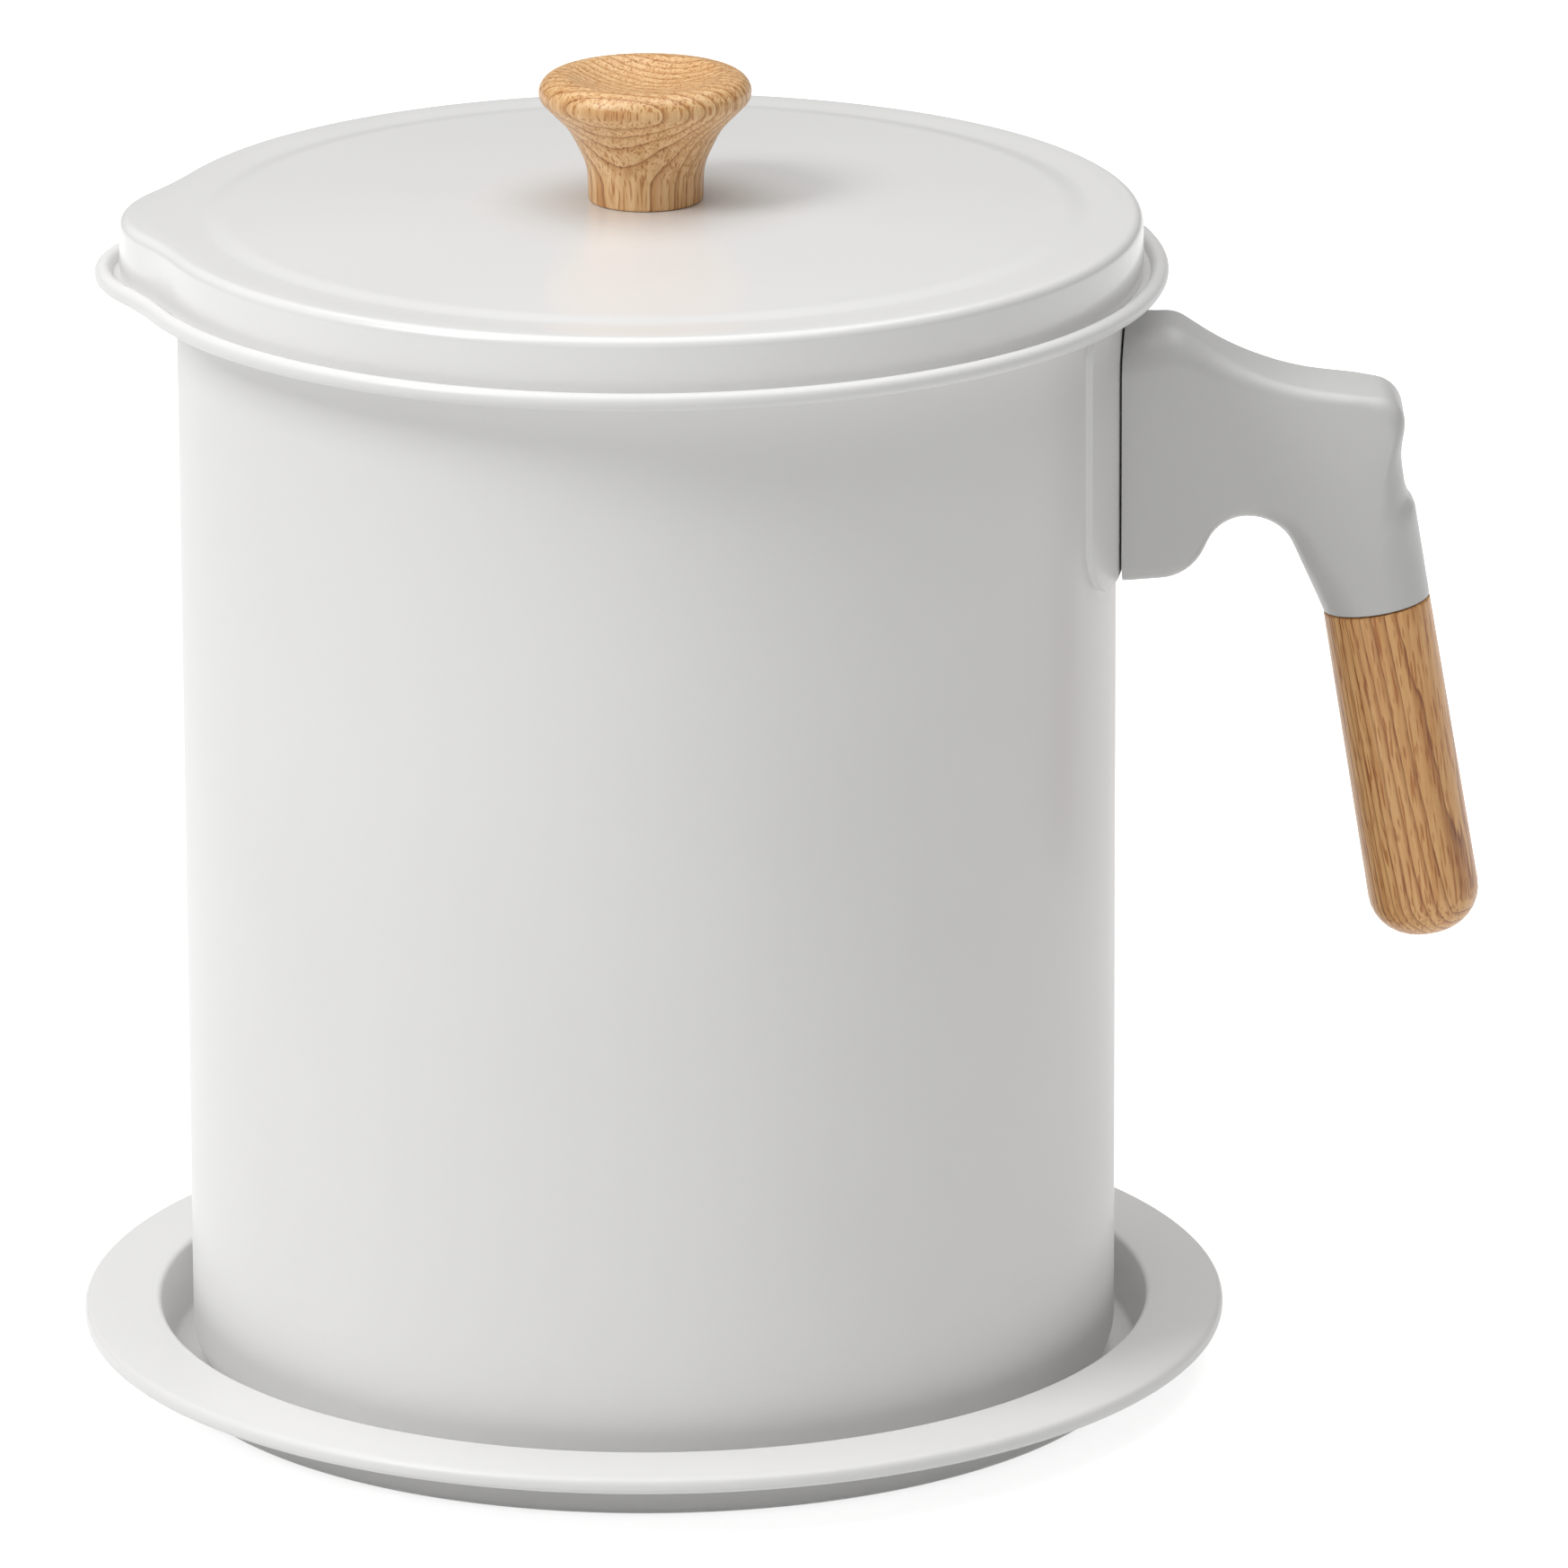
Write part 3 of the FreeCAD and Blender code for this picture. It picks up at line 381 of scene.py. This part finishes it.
def make_tray():
    floor = POT_RADIUS + 3.2
    brim = floor + 1.4
    lip = POT_RADIUS + 15.35
    lip_inside = lip - 2.1
    lip_low = 6.9
    lip_high = 9.2
    height = 9.6
    profile = rounded_path([
        (0, 0, None), (floor + GAUGE, 0, 1.3), (brim + GAUGE, height - GAUGE, 0.6),
        (lip_inside, lip_high - GAUGE, 0.2), (lip_inside, lip_low, 0.9), (lip, lip_low, 0.9),
        (lip, lip_high, 1.1), (brim, height, 0.9), (floor, GAUGE, 0.8), (0, GAUGE, None),
    ])
    tray = lathe("tray_dish", resample(profile, 6), "tray", 320)
    stand_for(tray, "drip_tray", tray_coat)


def make_pot():
    bore = POT_RADIUS - GAUGE
    step_foot = POT_RADIUS - 10
    step_head = POT_RADIUS - 12
    floor_low = POT_FOOT + 1.2
    bead_middle = Vector((POT_RADIUS + 6, FLANGE_TOP + 0.27))
    bead_radius = 1.2
    flange_end = bead_middle.x - 1.3
    bead_angles = [math.radians(15 * step) for step in range(-11, 12)]
    bead = [bead_middle + bead_radius * Vector((math.cos(angle), math.sin(angle))) for angle in bead_angles]
    profile = rounded_path([
        (0, floor_low, None), (step_head, floor_low, 2), (step_foot, POT_FOOT, 1.5),
        (POT_RADIUS, POT_FOOT, 5.6), (POT_RADIUS, FLANGE_LOW, 0.9), (flange_end, FLANGE_LOW, None),
    ])
    profile += bead
    profile += rounded_path([
        (flange_end, FLANGE_TOP, None), (bore, FLANGE_TOP, 1.7), (bore, POT_FOOT + GAUGE, 4.8),
        (step_foot, POT_FOOT + GAUGE, 2), (step_head, floor_low + GAUGE, 1.5), (0, floor_low + GAUGE, None),
    ])
    beak_start = POT_RADIUS + 1.5
    pot = lathe("pot_body", resample(profile, 8), "pot", 320, beak_from(beak_start, flange_end))
    stand_for(pot, "pot_shell", pot_coat)


def soft_step(inner, outer, low, high):
    """Points of an even S between two levels, from the outer radius in."""
    count = 10
    points = []
    for step in range(count + 1):
        share = step / count
        rise = share * share * (3 - 2 * share)
        points.append(Vector((outer + (inner - outer) * share, low + (high - low) * rise)))
    return points


def make_lid():
    panel_radius = LID_RADIUS - 7.0
    panel_edge = panel_radius - 4.4
    level = LID_TOP + PANEL_STEP
    bore = LID_RADIUS - LID_GAUGE
    ceiling = LID_TOP - LID_GAUGE
    shares = [1 - step / 16 for step in range(1, 17)]
    crown = [Vector((panel_edge * share, level + PANEL_CROWN * (1 - share ** 2))) for share in shares]
    skirt = rounded_path([
        (LID_RADIUS, LID_FOOT, None), (LID_RADIUS, LID_TOP, 1.5), (panel_radius, LID_TOP, None),
    ])
    raised = soft_step(panel_edge, panel_radius, LID_TOP, level)[1:] + crown
    top = skirt + raised
    under = [Vector((point.x, point.y - LID_GAUGE)) for point in reversed(skirt[-1:] + raised)]
    under += rounded_path([(panel_radius, ceiling, None), (bore, ceiling, 0.8), (bore, LID_FOOT, None)])[1:]
    beak_end = LID_RADIUS - 2.2
    outline = beak_from(panel_radius, beak_end)
    lid = lathe("lid_cap", resample(top, 4) + resample(under, 4), "lid", 320, outline, closed=True)
    stand_for(lid, "lid_shell", lid_coat)


make_tray()
make_pot()
make_lid()


# Knob and grip

def make_knob():
    height = 17.8
    crest = 10.9
    dish_depth = 2.4
    shares = [1 - step / 12 for step in range(2, 13)]
    dish = [Vector((crest * share, height - dish_depth * (1 - share ** 2))) for share in shares]
    profile = rounded_path([
        (0, 0, None), (7.95, 0, 0.4), (8.05, 5.0, 9), (10.6, 10.2, 10), (15.0, 14.7, 2.0),
        (14.1, 17.3, 2.6), (crest, height, 3.0), (*dish[0], None),
    ])
    raise_up = Matrix.Translation((0, 0, KNOB_FOOT))
    knob = lathe("turned_knob", resample(profile + dish[1:], 1.5), "lid", 128, place=raise_up)
    stand_for(knob, "lid_knob", knob_wood)


def make_grip():
    lean = Matrix.Translation(SEAM) @ Matrix.Rotation(-GRIP_LEAN, 4, "Y")
    length = 48.6
    swell = 0.3
    gap = 0.25
    profile = rounded_path([
        (0, -length, None), (GRIP_RADIUS + swell, -length, 6.2), (GRIP_RADIUS, -gap, 0.35), (0, -gap, None),
    ])
    grip = lathe("wood_grip", resample(profile, 2), "pot", 96, place=lean)
    stand_for(grip, "handle_grip", grip_wood)


make_knob()
make_grip()


# Handle arm

def at_fraction(path, fraction):
    """The point at a share of a line's whole length."""
    lengths = [(stop - start).length for start, stop in zip(path, path[1:])]
    goal = fraction * sum(lengths)
    for start, stop, length in zip(path, path[1:], lengths):
        if goal <= length:
            return start.lerp(stop, goal / length)
        goal -= length
    return path[-1]


def between(table, share):
    """Reads a table of (share, value) rows with straight lines between its rows."""
    for (low, start), (high, stop) in zip(table, table[1:]):
        if share <= high:
            return start + (stop - start) * (share - low) / (high - low)
    return table[-1][1]


def drill_up(piece, x, radius, low, high):
    """Cuts a round upright hole, from below, up to a height."""
    mesh = bpy.data.meshes.new("drill")
    form = bmesh.new()
    middle = Matrix.Translation((x * MM, 0, (low + high) / 2 * MM))
    bmesh.ops.create_cone(form, cap_ends=True, segments=48, radius1=radius * MM, radius2=radius * MM,
                          depth=(high - low) * MM, matrix=middle)
    form.to_mesh(mesh)
    form.free()
    drill = bpy.data.objects.new("drill", mesh)
    bpy.context.scene.collection.objects.link(drill)
    cut = piece.modifiers.new("hole", "BOOLEAN")
    cut.operation = "DIFFERENCE"
    cut.solver = "EXACT"
    cut.object = drill
    depsgraph = bpy.context.evaluated_depsgraph_get()
    drilled = bpy.data.meshes.new_from_object(piece.evaluated_get(depsgraph))
    piece.modifiers.remove(cut)
    piece.data = drilled
    drilled.set_sharp_from_angle(angle=math.radians(35))
    bpy.data.objects.remove(drill)


def make_arm():
    """Sections strung between the arm's inner line, over the fingers, and its outer line.

    The tables below give, by the share of the way out from the pot, how far the outer line
    has gone, the section's half width, and the roundings of its upper and lower edges.
    """
    lean_across = GRIP_RADIUS * math.cos(GRIP_LEAN)
    lean_up = GRIP_RADIUS * math.sin(GRIP_LEAN)
    root = POT_RADIUS + 1.25
    low = 115.1
    arch = 123.5
    top = 150.9
    inner = rounded_path([
        (root, low, None), (75.1, low, 6.8), (79.2, arch, 5.8), (87.6, arch, 7.0),
        (SEAM.x - lean_across, SEAM.z - lean_up, None),
    ])
    outer = rounded_path([
        (root, top, None), (73.3, top, 5), (84.9, 142.9, 36), (105.4, 140.3, 4.2),
        (104.3, 132.0, 14), (105.3, 125.7, 3.0), (106.5, 124.3, 3.1),
        (SEAM.x + lean_across, SEAM.z + lean_up, None),
    ])
    outer_share = [(0, 0), (0.2, 0.1), (0.4, 0.25), (0.6, 0.45), (0.72, 0.55), (0.8, 0.66), (1, 1)]
    half_width = [(0, 9.8), (0.12, 8.6), (0.3, 7.8), (0.85, 7.8), (1, 7.5)]
    top_round = [(0, 6.5), (0.15, 5.5), (0.45, 2.4), (0.65, 1.8), (0.78, 3.5), (0.93, 7.4), (1, 7.5)]
    low_round = [(0, 2.6), (0.3, 2.6), (0.6, 4.0), (0.93, 7.4), (1, 7.5)]
    sections = 120
    arc_steps = 8
    vertices = []
    for section in range(sections + 1):
        share = section / sections
        below = at_fraction(inner, share)
        above = at_fraction(outer, between(outer_share, share))
        middle = (below + above) / 2
        half_height = (above - below).length / 2
        upward = (above - below).normalized()
        width = between(half_width, share)
        for quarter, (side, end) in enumerate(((1, 1), (-1, 1), (-1, -1), (1, -1))):
            turn = min(between(top_round if end > 0 else low_round, share), width, half_height)
            for step in range(arc_steps + 1):
                angle = math.pi / 2 * (quarter + step / arc_steps)
                across = side * (width - turn) + turn * math.cos(angle)
                up = end * (half_height - turn) + turn * math.sin(angle)
                place = middle + upward * up
                x = place.x
                if share == 0:
                    x = math.sqrt(root * root - across * across)
                vertices.append((x, across, place.y))
    ring = 4 * (arc_steps + 1)
    faces = []
    for section in range(sections):
        for step in range(ring):
            following = (step + 1) % ring
            here = section * ring
            ahead = here + ring
            faces.append((here + step, here + following, ahead + following, ahead + step))
    faces.append(tuple(reversed(range(ring))))
    faces.append(tuple(range(sections * ring, (sections + 1) * ring)))
    arm = new_object("moulded_arm", vertices, faces, "pot", 35)
    drill_up(arm, x=POT_RADIUS + 6.5, radius=4.0, low=low - 5, high=low + 8.3)
    stand_for(arm, "handle_arm", arm_coat)


make_arm()


# Strainer

def make_woven_mesh():
    """Plain weave: each wire passes over one crossing wire and under the next."""
    pitch = 2.2
    wire = 0.32
    thickness = wire * 0.9
    sway = wire * 0.55
    level = 130.3
    reach = 53.6
    vertices = []
    faces = []
    count = int(reach / pitch)
    sides = 5
    for way in (0, 1):
        for row in range(-count, count + 1):
            aside = row * pitch
            half = math.sqrt(reach * reach - aside * aside)
            steps = max(2, int(2 * half / pitch * 4))
            base = len(vertices)
            for step in range(steps + 1):
                run = -half + 2 * half * step / steps
                lift = sway * math.cos(math.pi * (run / pitch + row + way))
                for side in range(sides):
                    angle = 2 * math.pi * side / sides
                    across = aside + wire * math.cos(angle)
                    up = level + lift + thickness * math.sin(angle)
                    vertices.append((run, across, up) if way else (across, run, up))
            for step in range(steps):
                for side in range(sides):
                    following = (side + 1) % sides
                    here = base + step * sides
                    ahead = here + sides
                    faces.append((here + side, here + following, ahead + following, ahead + side))
    mesh = new_object("woven_mesh", vertices, faces, "strainer")
    stand_for(mesh, "strainer_mesh", wire_steel)


make_woven_mesh()
for name in ("strainer_frame", "mesh_ring", "bail_lug_front", "bail_lug_rear"):
    paint_node(name, steel)
paint_node("strainer_bail", wire_steel)
for name in ("handle_screw", "grip_stud", "knob_screw", "knob_washer"):
    paint_node(name, zinc)
paint_node("knob_insert", brass)
paint_node("handle_bracket", pot_coat)


# Floor, world and lamps

def seen_directly(tree):
    """1 where a camera, glossy or transmission ray looks, else 0."""
    path = add(tree, "ShaderNodeLightPath")
    first = add(tree, "ShaderNodeMath", operation="MAXIMUM")
    second = add(tree, "ShaderNodeMath", operation="MAXIMUM")
    tree.links.new(path.outputs["Is Camera Ray"], first.inputs[0])
    tree.links.new(path.outputs["Is Glossy Ray"], first.inputs[1])
    tree.links.new(first.outputs["Value"], second.inputs[0])
    tree.links.new(path.outputs["Is Transmission Ray"], second.inputs[1])
    return second.outputs["Value"]


def make_floor():
    mesh = bpy.data.meshes.new("floor")
    reach = 8.0
    level = -0.2 * MM
    corners = [(x * reach, y * reach, level) for x, y in ((-1, -1), (1, -1), (1, 1), (-1, 1))]
    mesh.from_pydata(corners, [], [(0, 1, 2, 3)])
    floor = bpy.data.objects.new("floor", mesh)
    bpy.context.scene.collection.objects.link(floor)
    material = bpy.data.materials.new("floor_white")
    material.use_nodes = True
    tree = material.node_tree
    shader = tree.nodes["Principled BSDF"]
    shader.inputs["Base Color"].default_value = (0.72, 0.72, 0.72, 1)
    shader.inputs["Roughness"].default_value = 0.9
    glow = add(tree, "ShaderNodeEmission")
    glow.inputs["Color"].default_value = (1, 1, 1, 1)
    glow.inputs["Strength"].default_value = 0.76
    seen = seen_directly(tree)
    gate = add(tree, "ShaderNodeMixShader")
    dark = add(tree, "ShaderNodeEmission")
    dark.inputs["Strength"].default_value = 0.0
    total = add(tree, "ShaderNodeAddShader")
    tree.links.new(seen, gate.inputs["Fac"])
    tree.links.new(dark.outputs["Emission"], gate.inputs[1])
    tree.links.new(glow.outputs["Emission"], gate.inputs[2])
    tree.links.new(shader.outputs["BSDF"], total.inputs[0])
    tree.links.new(gate.outputs["Shader"], total.inputs[1])
    tree.links.new(total.outputs["Shader"], tree.nodes["Material Output"].inputs["Surface"])
    mesh.materials.append(material)


def make_world():
    world = bpy.data.worlds.new("studio")
    bpy.context.scene.world = world
    world.use_nodes = True
    tree = world.node_tree
    background = tree.nodes["Background"]
    background.inputs["Color"].default_value = (1, 0.995, 0.985, 1)
    background.inputs["Strength"].default_value = 0.24
    backdrop = add(tree, "ShaderNodeBackground")
    backdrop.inputs["Color"].default_value = (1, 1, 1, 1)
    backdrop.inputs["Strength"].default_value = 1.0
    path = add(tree, "ShaderNodeLightPath")
    mix = add(tree, "ShaderNodeMixShader")
    tree.links.new(path.outputs["Is Camera Ray"], mix.inputs["Fac"])
    tree.links.new(background.outputs["Background"], mix.inputs[1])
    tree.links.new(backdrop.outputs["Background"], mix.inputs[2])
    tree.links.new(mix.outputs["Shader"], tree.nodes["World Output"].inputs["Surface"])


def add_lamp(name, place, aim_height, side, watts):
    """A square lamp that faces a point on the object's axis."""
    light = bpy.data.lights.new(name, "AREA")
    light.shape = "SQUARE"
    light.size = side
    light.energy = watts
    lamp = bpy.data.objects.new(name, light)
    bpy.context.scene.collection.objects.link(lamp)
    lamp.location = place
    aim = Vector((0, 0, aim_height)) - Vector(place)
    lamp.rotation_euler = aim.to_track_quat("-Z", "Y").to_euler()


make_floor()
make_world()
add_lamp("key", place=(-1.3, -0.8, 1.7), aim_height=0.1, side=0.8, watts=20.5)
add_lamp("top", place=(0.0, 0.2, 3.2), aim_height=0.1, side=3.6, watts=78)
add_lamp("front", place=(-0.4, -2.2, 0.9), aim_height=0.08, side=1.2, watts=3)
bpy.context.scene.view_settings.view_transform = "Standard"
